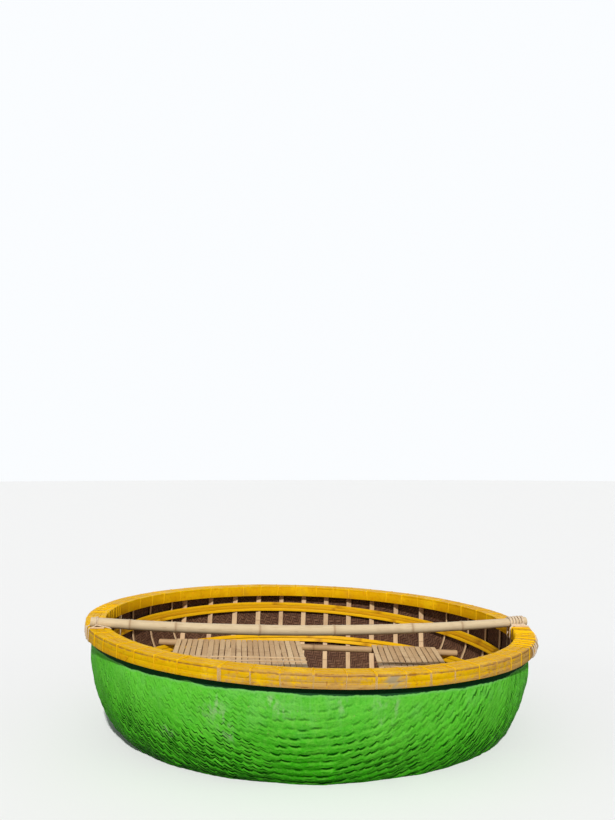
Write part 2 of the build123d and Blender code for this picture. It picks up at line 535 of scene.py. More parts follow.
def lay_on(shader, body, rough, height, distance):
    """Gives a shader its colour, its roughness and the fine relief of its surface."""
    feed(shader["Base Color"], body)
    feed(shader["Roughness"], rough)
    bump = {"Height": height, "Distance": distance, "Strength": 1.0}
    feed(shader["Normal"], node(tree_of(height), "ShaderNodeBump", bump)[0])


def bamboo_finish(name, pale, dark, fleck, stain, rough, tone_spread=0.5):
    """Split or whole bamboo: fibres along it, tone from piece to piece, stains in patches."""
    finish, tree, shader = new_finish(name)
    grain = fibres(tree)
    patch = blotches(tree, 0.13, 0.52, 0.22, (3.1, 1.7, 0.4))["Mask"]
    share = clamped(ramp(grain["Streaks"], 0.3, 0.7) * 0.55 + attribute(tree, "tone") * tone_spread)
    body = layered(blend(share, pale, dark), (grain["Flecks"] * 0.45, fleck), (patch * 0.55, stain),
                   (attribute(tree, "joint") * 0.6, fleck))
    lay_on(shader, body, grain["Streaks"] * 0.2 + patch * 0.12 + (rough - 0.1), grain["Streaks"], 0.0006)
    return finish


def coat_finish():
    """Green paint over the woven mat: chalky near the rim, painted shadow in the grooves, slime and painted
    shade by the water.
    """
    finish, tree, shader = new_finish("green coat", 0.002)
    place = place_in(tree)
    side, _, high = parts_of(place)
    column, row, _ = parts_of(grain_in(tree))
    large = blotches(tree, 0.16, 0.42, 0.25)["Mask"]
    small = blotches(tree, 0.028, 0.45, 0.2, (5, 2, 1))
    drips = blotches(tree, 0.012, 0.5, 0.2, (1, 7, 3), (1, 1, 0.09))["Mask"]
    faded = blotches(tree, 0.07, 0.50, 0.16, (8, 3, 5), (1, 1, 0.8))["Mask"]
    specks = blotches(tree, 0.009, 0.66, 0.05, (2, 9, 4))["Mask"]
    streaky = blotches(tree, 0.018, 0.42, 0.26, (3, 5, 1), (1, 1, 0.55))["Mask"]
    slime = blotches(tree, 0.035, 0.4, 0.2, (7, 1, 2), (1, 1, 2.5))["Cloud"]
    wave = blotches(tree, 0.10, 0.4, 0.2, (2, 6, 3), (1, 1, 0.2))["Cloud"]
    fine = noise(place, 105.0)
    up = ramp(high, 0.10, 0.36)
    left = ramp(side, 0.0, -0.4)
    right = ramp(side, 0.1, 0.5)
    groove, lip_highlight = edge_strokes(tree, column, row, side, high, left, right)
    deep = ramp(high, 0.24, 0.06, 1.35, 1.95) * ramp(high, -0.12, 0.0, 0.35, 1.0)
    rubbed = clamped(attribute(tree, "worn") * streaky)
    wet_slime_and_shade = ramp(high, 0.045, 0.0) * ramp(slime, 0.35, 0.6)
    edge = high + wave * 0.03 + slime * 0.006
    body = layered(
        blend(large, (67, 180, 27), (87, 191, 43)), (small["Mask"] * 0.45, (104, 196, 54)),
        # paler and chalkier up by the rim, deeper green down by the water
        (up * 0.42, (108, 188, 76)), (ramp(high, 0.20, 0.0) * 0.7, (54, 184, 13)),
        # upright brush marks and faded patches near the rim
        (drips * up * 0.2, (140, 205, 120)), (faded * up * 0.35, (122, 190, 104)),
        # brush-fine unevenness of the paint, and painted light on the left and right sides
        (ramp(fine, 0.52, 0.72, 0.0, 0.4), (122, 206, 74)),
        (ramp(fine, 0.48, 0.28, 0.0, 0.4), (36, 136, 14)), (highest(left, right) * 0.35, (100, 206, 52)),
        # painted shadow along the scales' lower edges, with painted highlights on the lips beside them
        (lip_highlight * 0.55, (122, 216, 68)), (clamped(groove * deep), (10, 82, 6)),
        # rubbed places, where the paint is thin and dusty, and specks of dirt
        (rubbed * 0.8, (158, 190, 136)), (specks * 0.5, (150, 160, 96)),
        # slime by the water, with painted shade there too
        (wet_slime_and_shade * 0.75, (26, 74, 20)),
        # painted shadow of the rim on the hull just under it, with a wavy lower edge, and a pale band below
        # it as painted highlight
        (ramp(edge, RIM_UNDER - 0.020, RIM_UNDER - 0.012) * 0.5, (128, 196, 110)),
        (ramp(edge, RIM_UNDER - 0.012, RIM_UNDER - 0.008) * 0.92, (8, 52, 34)))
    # the strips of each scale, the paint's own skin, and the edges of the scales
    strip = maths("PINGPONG", column * STRIP_IN_COLUMN, 0.5)
    height = ramp(strip, 0.0, 0.16) * 0.06 + noise(place, 260.0, 4.0) * 0.25 + fine * 0.35 - groove * 0.8
    lay_on(shader, body, small["Cloud"] * 0.3 + 0.28 + rubbed * 0.25 - wet_slime_and_shade * 0.1, height, 0.0032)
    return finish


def edge_strokes(tree, column, row, side, high, left, right):
    """The strokes of three kinds, painted shadow that also shapes the relief, and the painted-highlight lips
    below them:
    longer ones in the middle, closer ones on the right, fine ones on the left. left and right say where
    those sides are."""
    half = maths("TANH", row / 5.0)
    slope = maths("TANH", side / 0.3) * half * 0.42
    fine_share = maths("MAXIMUM", left * ramp(high, 0.26, 0.08, 1.3, 1.9), 0.25)
    # strokes for each column and each row, wander, width, seed, share
    kinds = [(0.7, 1.0, 0.3, 0.22, 3.0, 1.0 - right - left * 0.5), (0.55, 1.5, 0.22, 0.36, 5.0, right),
             (1.0, 2.0, 0.4, 0.3, 8.0, fine_share)]
    grooves, lip_highlights = [], []
    for columns, rows, wander, width, seed, share in kinds:
        inputs = {"Column": column * columns, "Row": row * rows, "Slope": slope, "Wander": wander,
                  "Width": width, "Below": half * -1.0, "Seed": seed}
        mark = node(tree, "ShaderNodeGroup", inputs, node_tree=STROKES)
        grooves.append(mark["Groove"] * share)
        lip_highlights.append(mark["Lip highlight"] * share)
    strength = attribute(tree, "groove")
    return clamped(highest(*grooves) * strength), clamped(highest(*lip_highlights) * strength)


def mat_finish():
    """The bare brown mat inside the bowl: strips over and under each other, with painted shade at their
    edges.
    """
    finish, tree, shader = new_finish("brown mat")
    weave = grain_in(tree)
    across, along, _ = parts_of(weave)
    across = across * STRIP_IN_COLUMN
    along = along * 2.0
    column = maths("FLOOR", across)
    row = maths("FLOOR", along)
    # a twill: each strip passes over two and under two, one step on in each row
    over = maths("LESS_THAN", maths("MODULO", column + row + 400.0, 4.0), 1.5)
    under = 1.0 - over
    crown = (over * maths("SINE", maths("FRACT", across) * pi)
             + under * maths("SINE", maths("FRACT", along) * pi))
    own = chance(combined(over * column, under * row, over))[0]
    stretched = node(tree, "ShaderNodeVectorMath", {0: weave, 1: (40.0, 40.0, 1.0)}, operation="MULTIPLY")
    fine = noise(stretched[0])
    cloud = blotches(tree, 0.2, 0.45, 0.25, (1, 1, 6))["Mask"]
    # the mat's own browns, made darker by painted shade
    body = layered(blend(own, (80, 51, 36), (114, 83, 61)), (ramp(fine, 0.35, 0.7), (90, 61, 45)),
                   (cloud * 0.6, (72, 50, 42)))
    # painted shade where each strip dips at its edges under the next
    body = blend(ramp(crown, 0.12, 0.5), (38, 25, 17), body)
    lay_on(shader, body, ramp(fine, 0.2, 0.8, 0.5, 0.75), ramp(crown, 0.0, 1.0), 0.0022)
    return finish


def rim_finish():
    """Yellow paint on the rim's laths, rubbed through to grey and brown bamboo."""
    finish, tree, shader = new_finish("yellow rim laths", 0.02)
    grain = fibres(tree, 700.0, 7.0)
    bare = attribute(tree, "bare")
    worn = attribute(tree, "worn")
    streaks = ramp(grain["Streaks"], 0.3, 0.7)
    large = blotches(tree, 0.10, 0.5, 0.2, (2, 8, 1))["Mask"]
    mottle = blotches(tree, 0.012, 0.5, 0.2, (6, 1, 8))["Mask"]
    grime = blotches(tree, 0.03, 0.5, 0.15, (4, 4, 4))
    rust = blotches(tree, 0.017, 0.60, 0.08, (9, 3, 5))["Mask"]
    paint = layered(blend(attribute(tree, "tone"), (222, 182, 4), (208, 160, 6)),
                    (streaks * 0.55, (204, 138, 6)), (large * 0.35, (250, 208, 20)),
                    (mottle * 0.55, (200, 126, 12)))
    wood = layered(blend(streaks, (206, 166, 92), (168, 120, 62)), (grain["Flecks"] * 0.9, (118, 70, 30)),
                   (grime["Mask"] * 0.4, (166, 114, 62)), (bare, (164, 146, 112)))
    # paint holds where it is thick: worn says how far it has gone, streaks and grime break its edge
    broken = blotches(tree, 0.008, 0.5, 0.1, (1, 4, 2))["Cloud"]
    hold = grain["Streaks"] * 0.45 + grime["Cloud"] * 0.3 + broken * 0.25
    gone = highest(ramp(worn - hold, -0.05, 0.07), bare)
    # a broken brown line in the seam between the top laths and the outer ones
    x, y, z = parts_of(place_in(tree))
    out = maths("SQRT", x * x + y * y)
    seam = (ramp(maths("ABSOLUTE", z - CAP_LOW), 0.0040, 0.0008)
            * ramp(out, RIM_RADIUS - 0.010, RIM_RADIUS - 0.004) * ramp(grime["Cloud"], 0.36, 0.56))
    body = layered(blend(gone, paint, wood), (rust * (worn * 0.9), (150, 76, 20)),
                   (attribute(tree, "joint") * 0.45, (150, 100, 40)), (seam * 0.7, (136, 92, 66)))
    rough = gone * 0.22 + grain["Streaks"] * 0.2 + 0.36
    lay_on(shader, body, rough, grain["Streaks"] * 0.7 + grime["Cloud"] * 0.6, 0.0009)
    return finish


def line_finish(name, first, second, strand_groove_shade, paint=None):
    """Twisted line: strands wind round it, with painted shade between them, dirt in patches, and the rim's
    paint where it got some.
    The line without paint is for the two ties, which are solids of the frame and have no map."""
    finish, tree, shader = new_finish(name)
    if paint:
        along, across, _ = parts_of(grain_in(tree))
        wind = along * 190.0 + across * 260.0
        patch = blotches(tree, 0.03, 0.45, 0.25, (1, 5, 9))
    else:
        _, across, along = parts_of(place_in(tree))
        wind = along * 190.0 + across * 240.0
        patch = blotches(tree, 0.02, 0.45, 0.2, (4, 2, 8))
    strand = maths("PINGPONG", wind, 0.5)
    body = blend(patch["Mask"], first, second)
    # painted shade in the grooves between the strands
    body = blend(ramp(strand, 0.16, 0.0), body, strand_groove_shade)
    if paint:
        body = blend(ramp(attribute(tree, "painted") + patch["Cloud"] * 0.5, 0.55, 0.85), body, paint)
    lay_on(shader, body, ramp(patch["Cloud"], 0.3, 0.7, 0.65, 0.85), ramp(strand, 0.0, 0.4), 0.0006)
    return finish


# The weave of the mat: rows of scales, each over a few strips
ROW_PITCH = 0.033
COLUMN_PITCH = 0.039
ROW_LEAN = 0.18            # columns moved on from one row to the next
ROW_SLOPE = 0.066          # slope of the rows against X
ROW_BEND = 0.08            # and how they bend away from it
STRIP_IN_COLUMN = 3
SCALE_RISE = 0.0030
GROOVE_REACH = 0.10        # share of a row in which a scale rises from the groove at its edge
SCALE_HANG = 0.0022        # how far the middle of a scale's lower edge hangs below its ends
STROKE_TILT = -0.30        # slope of each lower edge against the line of its row
# Where the mat's grid is cut in each row and in each column of the weave
OUTER_CUTS = (0.0, 0.12, 0.5, 0.88), (0.0, 0.3, 0.6, 0.85)
INNER_CUTS = (0.0, 0.5), (0.0, 0.5)
EDGE_ROW = 0.004           # least width of the last row of faces, at the mat's edge
SCALES = 400               # more than the scales of a row or a column
# Dents of the whole wall: length, height, seed
DENTS = [(0.16, 0.0016, 11), (0.45, 0.002, 12)]
FIRM_EDGE = 0.045          # how far down the rim holds the mat in its shape

COAT = coat_finish()
MAT = mat_finish()
RIM_PAINT = rim_finish()
# each bamboo's pale and dark tones, flecks and stains
RIB_WOOD = bamboo_finish("dry rib bamboo", (212, 184, 146), (178, 146, 110),
                         (120, 84, 60), (140, 104, 80), 0.55)
HOOP_WOOD = bamboo_finish("amber hoop bamboo", (230, 182, 12), (192, 130, 10),
                          (140, 78, 10), (210, 150, 26), 0.42)
BENCH_WOOD = bamboo_finish("bench bamboo", (218, 192, 152), (182, 150, 112),
                           (128, 94, 64), (156, 126, 94), 0.5, 0.75)
# the bearers' bamboo is the bench's made darker by painted shade
BEARER_WOOD = bamboo_finish("bench bearer bamboo", (190, 160, 122), (160, 130, 94),
                            (112, 80, 54), (138, 108, 78), 0.5)
POLE_WOOD = bamboo_finish("pole bamboo", (204, 186, 152), (178, 154, 120),
                          (138, 104, 74), (168, 144, 114), 0.45)
PALE_LINE = line_finish("pale line", (222, 202, 176), (200, 176, 146), (160, 134, 106), (236, 186, 14))
LASHING_LINE = line_finish("lashing line", (216, 186, 140), (190, 158, 108), (150, 108, 60), (236, 186, 12))
TIE_LINE = line_finish("taut tie line", (196, 178, 146), (160, 140, 108), (104, 86, 62))


# The bowl

def woven_bowl():
    """The draped mat: a fine sheet outside, a plain one inside, closed round the edge."""
    outside = mat_sheet("woven_bowl", *OUTER_CUTS, True)
    inside = mat_sheet("bowl_inside", *INNER_CUTS, False)
    outside.data.materials.append(COAT)
    inside.data.materials.append(MAT)
    bowl = joined([outside, inside], "woven_bowl")
    edit(bowl, "EDGE")
    select_border()
    bpy.ops.mesh.bridge_edge_loops()
    stop_edit()
    bpy.ops.object.shade_smooth()
    finished(bowl, None, "green_hull", "woven_hull")


def mat_sheet(name, row_cuts, column_cuts, outer):
    """One face of the mat as a grid laid along its rows, cut round and draped into the bowl."""
    rows = 2 * (int(REACH_ALL / ROW_PITCH) + 2)
    columns = 2 * (int(REACH_ALL * (1 + ROW_LEAN) / COLUMN_PITCH) + 2)
    bpy.ops.object.select_all(action="DESELECT")
    bpy.ops.mesh.primitive_grid_add(x_subdivisions=columns * len(column_cuts),
                                    y_subdivisions=rows * len(row_cuts), size=1)
    sheet = started(name)
    grid = spots_of(sheet)
    column = in_cells(grid[:, 0], columns, column_cuts)
    row = in_cells(grid[:, 1], rows, row_cuts)
    across, along = flat_place(column, row)
    mark_map(sheet, column, row)
    move_to(sheet, np.stack([across, along, np.zeros_like(across)], 1))
    mark_points(sheet, "row", row)
    mark_points(sheet, "column", column)
    cut_round(sheet, np.hypot(across, along) < REACH_ALL - EDGE_ROW)
    drape(sheet, outer)
    return sheet


def in_cells(side, count, cuts):
    """Cells of the weave counted along one side of the even grid, its lines drawn to the cuts."""
    step = np.rint((side + 0.5) * count * len(cuts)).astype(int)
    return step // len(cuts) - count // 2 + np.asarray(cuts)[step % len(cuts)]


def hanging(in_column):
    """A scale's lower edge across its column: 0 at its ends and 1 in the middle."""
    return 4 * in_column * (1 - in_column)


def flat_place(column, row):
    """Where a place of the weave lies in the flat mat. The lower edge of each scale hangs a little,
    and slopes against the line of its row."""
    across = COLUMN_PITCH * (column + ROW_LEAN * row)
    along = ROW_PITCH * row - ROW_SLOPE * across - ROW_BEND * across ** 2 * np.tanh(row / 12)
    in_column = column - np.floor(column)
    tilt = STROKE_TILT * COLUMN_PITCH * (0.5 - in_column) * np.tanh(across / 0.25) * np.tanh(row / 5)
    near_groove = np.where(np.abs(row - np.rint(row)) < 0.2, 1.0, 0.4)
    return across, along + near_groove * (tilt - SCALE_HANG * hanging(in_column) * np.tanh(row / 5))


def cut_round(sheet, keep):
    """Removes what lies past the edge, and draws a last row of faces out to the edge."""
    edit(sheet, "VERT")
    stop_edit()
    sheet.data.vertices.foreach_set("select", ~keep)
    bpy.ops.object.mode_set(mode="EDIT")
    bpy.ops.mesh.delete(type="VERT")
    select_border()
    bpy.ops.mesh.extrude_edges_move()
    stop_edit()
    picked = np.empty(len(sheet.data.vertices), bool)
    sheet.data.vertices.foreach_get("select", picked)
    spots = spots_of(sheet)
    out = np.hypot(spots[:, 0], spots[:, 1])
    spots[picked, :2] *= (REACH_ALL / out[picked])[:, None]
    move_to(sheet, spots)


def drape(sheet, outer):
    """Takes the flat sheet down into the bowl, with the weave's relief on the outside."""
    across, along, _ = spots_of(sheet).T
    reach = np.hypot(across, along)
    bearing = np.arctan2(along, across)
    below_rim = REACH_ALL - reach
    dents = sum(uneven(across, along, length, seed) * high for length, high, seed in DENTS)
    loose = rising(below_rim, FIRM_EDGE, 0.05)
    rise, groove = relief(sheet, across, along, below_rim) if outer else (0.0, 0.0)
    radius, height, face = bowl_section(reach, 0.0 if outer else HULL_WALL)
    out = (rise + dents) * loose
    move_to(sheet, around(radius + out * np.cos(face), bearing, height - out * np.sin(face)))
    mark_points(sheet, "groove", groove * loose)
    mark_points(sheet, "worn", rubbed_places(bearing, below_rim))
    if not outer:
        edit(sheet, "FACE", "SELECT")
        bpy.ops.mesh.flip_normals()
        stop_edit()


def relief(sheet, across, along, below_rim):
    """How far the weave stands out, and how strong the strokes at the scales' edges are. Each scale
    swells down to its lower edge and steps back there."""
    row = values_of(sheet, "row")
    column = values_of(sheet, "column")
    own = np.random.default_rng(5).random((SCALES, SCALES))
    share = own[np.floor(row + 0.5).astype(int) % SCALES, np.floor(column).astype(int) % SCALES]
    in_row = row - np.floor(row)
    from_groove = np.minimum(in_row, 1 - in_row)
    down = np.where(row < 0, in_row, 1 - in_row)
    down = np.where(from_groove < 1e-6, 0.5, down)
    bearing = np.degrees(np.arctan2(along, across)) % 360
    # faint up by the rim, on the right less so, and strongest low down
    strength = rising(below_rim, 0.05, 0.22) * 0.8 + 0.2
    strength += 0.6 * rising(bearing, 295, 30) * (1 - strength)
    strength += 0.4 * rising(below_rim, 0.25, 0.16)
    strength *= np.clip(0.9 + 0.35 * uneven(across, along, 0.35, 21), 0.35, 1.3)
    # smoother on the upper left of the near side
    smooth_side = rising(262 - bearing, 0, 14) * rising(bearing, 170, 20)
    strength *= 1 - 0.25 * smooth_side * rising(0.30 - below_rim, 0, 0.06)
    crown = (0.35 + 0.65 * down) * (0.6 + 0.4 * hanging(column - np.floor(column))) * (0.5 + share)
    rise = SCALE_RISE * crown * (1 - hump(from_groove, GROOVE_REACH))
    return rise * strength, np.clip(strength, 0, 1)


# Rubbed places: bearing, depth below the rim's top, half width, half height, strength
RUBBED = [
    (237, 0.281, 0.035, 0.02, 0.9), (248, 0.173, 0.03, 0.03, 0.6), (250.3, 0.143, 0.018, 0.06, 0.8),
    (252, 0.198, 0.014, 0.05, 0.9), (253.5, 0.239, 0.012, 0.03, 0.9), (262.1, 0.105, 0.035, 0.022, 1.0),
    (264.7, 0.142, 0.05, 0.02, 0.7), (276.6, 0.111, 0.02, 0.03, 0.8), (284.5, 0.106, 0.03, 0.02, 0.5),
    (285, 0.147, 0.012, 0.05, 0.6), (288, 0.09, 0.012, 0.10, 0.7), (70, 0.15, 0.05, 0.04, 0.8),
    (115, 0.20, 0.03, 0.06, 0.8), (20, 0.12, 0.06, 0.03, 0.7), (160, 0.22, 0.04, 0.05, 0.7),
    (338, 0.20, 0.05, 0.04, 0.5),
]


def rubbed_places(bearing, below_rim):
    total = np.zeros_like(bearing)
    depth = below_rim + (RIM_TOP - CAP_LOW)
    for where, down, half_wide, half_high, strength in RUBBED:
        apart = (bearing - radians(where) + pi) % (2 * pi) - pi
        total += strength * hump(apart * HULL_RADIUS, half_wide) * hump(depth - down, half_high)
    return np.clip(total, 0, 1)


# The rim

# node, middle radius, middle height, size outwards, size upwards, first joint, lengths, seed
RIM_LATHS = [
    ("rim_outer_core", 0.9785, 0.3905, 0.012, 0.042, 40, 2, 1),
    ("rim_outer_upper", 0.9925, 0.4012, 0.015, 0.0215, 258, 3, 2),
    ("rim_outer_lower", 0.9925, 0.3796, 0.015, 0.0215, 227, 3, 3),
    ("rim_inner_core", 0.9535, 0.3905, 0.0145, 0.042, 80, 2, 4),
    ("rim_inner_middle", 0.939, 0.3905, 0.0138, 0.0425, 160, 2, 5),
    ("rim_inner_face", 0.9245, 0.3905, 0.0148, 0.043, 310, 2, 6),
    ("rim_cap_inner", 0.9305, 0.416, 0.0265, 0.008, 236, 3, 7),
    ("rim_cap_middle", 0.958, 0.416, 0.0275, 0.008, 291, 3, 8),
    ("rim_cap_outer", 0.986, 0.416, 0.0275, 0.008, 208, 3, 9),
]
# slanting joint, eased edge, unevenness upwards, crown: of a lath laid flat on top, and of an upright one
FLAT_LATH = (0.16, 0.0012, 0.00054, 0.0009)
UPRIGHT_LATH = (0.02, 0.0004, 0.00036, 0.0)
LATH_SWAY = 0.0004
LATH_GAP = 0.0002
LATH_END_GAP = 0.0012
LATH_RING = 0.026           # distance between the rings of a lath
LATH_JOINTS = 0.34          # mean distance between the bamboo's joints
LATH_JOINT_RISE = 0.0007
JOINT_WIDE = 0.006          # half width of the mark at each joint
ARC_SPARE = 12              # how far a lath's arc goes on past each end, for its slanting joint

# How far the paint is rubbed off the rim's outer face: bearing, share
FACE_WEAR = [
    (180, 0.44), (200, 0.38), (215, 0.36), (235, 0.36), (247, 0.38), (252, 0.44), (262, 0.46), (266, 0.50),
    (272, 0.52), (284, 0.50), (290, 0.42), (297, 0.42), (303, 0.46), (315, 0.50), (330, 0.54), (345, 0.54),
    (360, 0.46), (380, 0.42), (430, 0.42), (470, 0.40), (520, 0.43), (540, 0.44),
]
BARE_LENGTH = (285.0, 289.0)   # bearings of the unpainted length on the outer face


def arc_line(radius, height, start, end):
    """A level arc between two bearings, with three points for every 3 degrees."""
    return around(radius, np.radians(np.linspace(start, end, 3 * (int((end - start) / 3) + 1))), height)


def rim_lath(node_name, radius, height, outwards, upwards, first, lengths, seed):
    """A lath of the rim in a few bent lengths, each slanted at its ends to meet the next."""
    flat = outwards > upwards
    wide, thick = (outwards, upwards) if flat else (upwards, outwards)
    scarf, ease, lift, crown = FLAT_LATH if flat else UPRIGHT_LATH
    draw = np.random.default_rng(100 + seed)
    parts = []
    for number in range(lengths):
        start = first + 360 / lengths * number
        end = start + 360 / lengths
        long = line_length(arc_line(radius, height, start, end))
        places = np.linspace(0, long - LATH_END_GAP, int(long / LATH_RING))
        lath = straight_lath(wide - LATH_GAP, thick, places, ease)
        mark_grain(lath, draw, 9)
        spots = spots_of(lath)
        side = spots[:, 1] / wide
        swell_joints(lath, spots, draw, long, thick)
        spots[:, 2] += lift * sway(spots[:, 0], 0.5, seed * 10 + number)
        spots[:, 1] += LATH_SWAY * sway(spots[:, 0], 0.8, seed * 10 + number + 50)
        spots[:, 2] += np.where(spots[:, 2] > 0, crown, -crown) * (1 - (2 * side) ** 2)
        spots[:, 0] = np.clip(spots[:, 0], 0, None) + scarf * side + radius * radians(ARC_SPARE)
        move_to(lath, spots)
        line = arc_line(radius, height, start - ARC_SPARE, end + ARC_SPARE)
        parts.append(lay_along(lath, line, line * (1, 1, 0) if flat else (0, 0, 1)))
    whole = assembled(parts, node_name + "_laths", RIM_PAINT, "yellow_bamboo", node_name)
    mark_rim_wear(whole, node_name)


def swell_joints(piece, spots, draw, long, thick):
    """Raises a low ridge at each of the bamboo's joints, and keeps where they are."""
    mark = np.zeros(len(spots))
    joint = draw.uniform(0.1, LATH_JOINTS)
    while joint < long:
        mark = np.maximum(mark, hump(spots[:, 0] - joint, JOINT_WIDE))
        joint += LATH_JOINTS * draw.uniform(0.75, 1.2)
    spots[:, 2] *= 1 + mark * LATH_JOINT_RISE / (thick / 2)
    mark_points(piece, "joint", mark)


def mark_rim_wear(piece, node_name):
    """Keeps how far the paint has gone from a lath, and where it never had any."""
    spots = spots_of(piece)
    out, bearing = polar(spots)
    bearing = np.where(bearing < 180, bearing + 360, bearing)
    face = np.interp(bearing, *np.array(FACE_WEAR).T)
    outer_row = node_name in ("rim_outer_upper", "rim_outer_lower")
    if outer_row:
        worn = face + 0.10 * rising(RIM_UNDER + 0.005 - spots[:, 2], 0, 0.005)
    elif node_name == "rim_cap_outer":
        worn = 0.28 + rising(out, RIM_RADIUS - 0.004, 0.003) * (face - 0.22)
    else:
        worn = 0.30 if "cap" in node_name else 0.28
    mark_points(piece, "worn", worn)
    bare = (bearing > BARE_LENGTH[0]) & (bearing < BARE_LENGTH[1]) & (out > RIM_RADIUS - 0.004)
    mark_points(piece, "bare", bare & outer_row)


# Line lashed round the rim: bearing, turns. Elsewhere they follow at an even pitch.
LASHINGS_SEEN = [
    (251.5, 5), (258, 2), (264, 2), (270.5, 2), (277, 1), (283, 3), (289.3, 2), (295, 3), (301, 2),
]
LASHING_PITCH = 6.4
LASHING_RADIUS = 0.0011
TURN_STEP = 0.0028
CORNER_EASE = 0.005
RIM_MIDDLE = 0.96
TOP_SPOTS = (0.97, 0.945)      # radii of two points of a turn on the rim's top


def lashing_path(thick, slack):
    """One turn round the rim's section, as radius and height, from inside the hull's wall and back.
    slack is how far it stands off the rim's outer face; such a turn lies deep in the paint on top."""
    gap = thick * (0.1 if slack else 0.8)
    low, high = RIM_UNDER - gap, RIM_TOP + gap
    near, far = RIM_INSIDE - gap, RIM_RADIUS + gap
    wall = HULL_RADIUS - HULL_WALL / 2
    ease, bit = CORNER_EASE, 0.3 * CORNER_EASE
    up = [(wall, low), (0.5 * (wall + far), low), (far - ease, low), (far - bit, low + bit),
          (far + 0.6 * slack, low + ease), (far + slack, RIM_UNDER + 0.021),
          (far + 0.5 * slack, high - ease - 0.006), (far, high - ease), (far - bit, high - bit),
          (far - ease, high)]
    down = [(near + ease, high), (near + bit, high - bit), (near, high - ease), (near, high - 0.022),
            (near, low + ease), (near + bit, low + bit), (near + ease, low), (0.5 * (wall + near), low),
            (wall, low)]
    return np.array(up + [(radius, high) for radius in TOP_SPOTS] + down)


def rim_turn(thick, bearing, lean, draw, slack=0.0, sides=6):
    """One turn of line round the rim. lean moves its top on round the rim, in metres."""
    path = lashing_path(thick, slack)
    share = (path[:, 1] - RIM_UNDER) / (RIM_TOP - RIM_UNDER)
    line = around(path[:, 0], radians(bearing) + lean * (share - 0.5) / RIM_RADIUS, path[:, 1])
    made = straight_rod(thick, reach_of(line), sides)
    mark_grain(made, draw, 3)
    middle = radians(bearing)
    return lay_along(made, line, (-sin(middle), cos(middle), 0))


def mark_painted(piece, outside):
    """The rim's paint covers its line on top and inside, and a share of it on the outer side."""
    spots = spots_of(piece)
    inside = polar(spots)[0] < RIM_MIDDLE
    top = rising(spots[:, 2], RIM_TOP - 0.007, 0.006)
    mark_points(piece, "painted", np.maximum(np.where(inside, 1.0, outside), top))


def rim_lashings():
    """All the line round the rim, in groups of turns side by side."""
    draw = np.random.default_rng(31)
    groups = list(LASHINGS_SEEN)
    bearing = LASHINGS_SEEN[-1][0] + LASHING_PITCH
    while bearing < LASHINGS_SEEN[0][0] + 360 - 0.6 * LASHING_PITCH:
        groups.append((bearing + draw.uniform(-0.7, 0.7), int(draw.choice([1, 2, 2, 3]))))
        bearing += LASHING_PITCH
    parts = []
    for where, turns in groups:
        lean = draw.uniform(-0.006, 0.006)
        for number in range(turns):
            place = where + np.degrees((number - (turns - 1) / 2) * TURN_STEP / RIM_RADIUS)
            place += draw.uniform(-0.03, 0.03)
            parts.append(rim_turn(LASHING_RADIUS, place, lean + draw.uniform(-0.001, 0.001), draw))
    whole = assembled(parts, "rim_lashings", LASHING_LINE, "cord", angle=60)
    _, bearing = polar(spots_of(whole))
    seen = (bearing > LASHINGS_SEEN[0][0] - 2) & (bearing < LASHINGS_SEEN[-1][0] + 2)
    mark_painted(whole, np.where(seen, 0.35, 0.7))


# Ribs and hoops

RIB_THICK = 0.006
RIB_WIDE = 0.026
RIB_PITCH = 0.129
RIB_FIRST = -0.675
RIB_COUNT = 11
RIB_EASE = 0.0014
RIB_CROWN = 0.0010         # how far a rib's middle stands out past its edges
RIB_SINK = 0.0004          # how much thinner its strip is made, and nearer the wall
HOOP_THICK = 0.008
HOOP_GROOVE = 0.002
HOOP_SWELL = 0.0014        # how much a hoop's strip is wider than its solid
HOOP_SWAY = 0.0006
HOOP_END_GAP = 0.001
HOOP_BELOW = 0.004         # its strips lean with the wall, which is measured this far below them too
HOOP_GUESS = 0.93          # radius from which its own is worked out
# node, height of the top edge, strips, strip height, tilt, bearing of the high side
HOOPS = [
    ("hoop_upper", RIM_TOP - 0.146, 3, 0.014, 3.24, 110.8),
    ("hoop_lower", RIM_TOP - 0.266, 2, 0.017, 0, 0),
]
STRIP_RING = 0.03          # distance between the rings of a strip
JOINT_GAP = 0.004          # and of the three rings at each of its joints
JOINT_CLEAR = 0.011        # no even ring lies as close as this to a joint
FIRST_JOINT = (0.08, 0.3)  # least and most distance of a strip's first joint from its end
NEXT_JOINT = (0.24, 0.38)  # and of each joint from the one before
JOINT_OVER = 0.0011        # how far a joint stands out on a strip's upper face, before it is bent
JOINT_UNDER = 0.0003       # and on its lower one
JOINT_WIDEN = 0.035
STRIP_EASE = 0.0012


def strip_places(draw, long):
    """Ring places along a strip: even ones, and three close together at each joint."""
    places = list(np.linspace(0, long, int(long / STRIP_RING)))
    joint = draw.uniform(*FIRST_JOINT)
    while joint < long - 0.05:
        places = [p for p in places if abs(p - joint) > JOINT_CLEAR or p in (0, long)]
        places += [joint - JOINT_GAP, joint, joint + JOINT_GAP]
        joint += draw.uniform(*NEXT_JOINT)
    return np.array(sorted(places))


def split_strip(draw, wide, thick, long, ease, tone=None):
    """A straight strip of split bamboo, and its points. It is a little wider and thicker in the middle
    ring at each joint, and keeps where those are."""
    places = strip_places(draw, long)
    strip = straight_lath(wide, thick, places, ease)
    mark_grain(strip, draw, 9, tone)
    spots = spots_of(strip)
    close = np.abs(np.diff(places) - JOINT_GAP) < 1e-6
    mark = np.zeros(len(spots))
    for joint in places[1:-1][close[:-1] & close[1:]]:
        mark = np.maximum(mark, np.abs(spots[:, 0] - joint) < 1e-4)
    spots[:, 2] += np.where(spots[:, 2] > 0, JOINT_OVER, -JOINT_UNDER) * mark
    spots[:, 1] *= 1 + JOINT_WIDEN * mark
    mark_points(strip, "joint", mark)
    return strip, spots


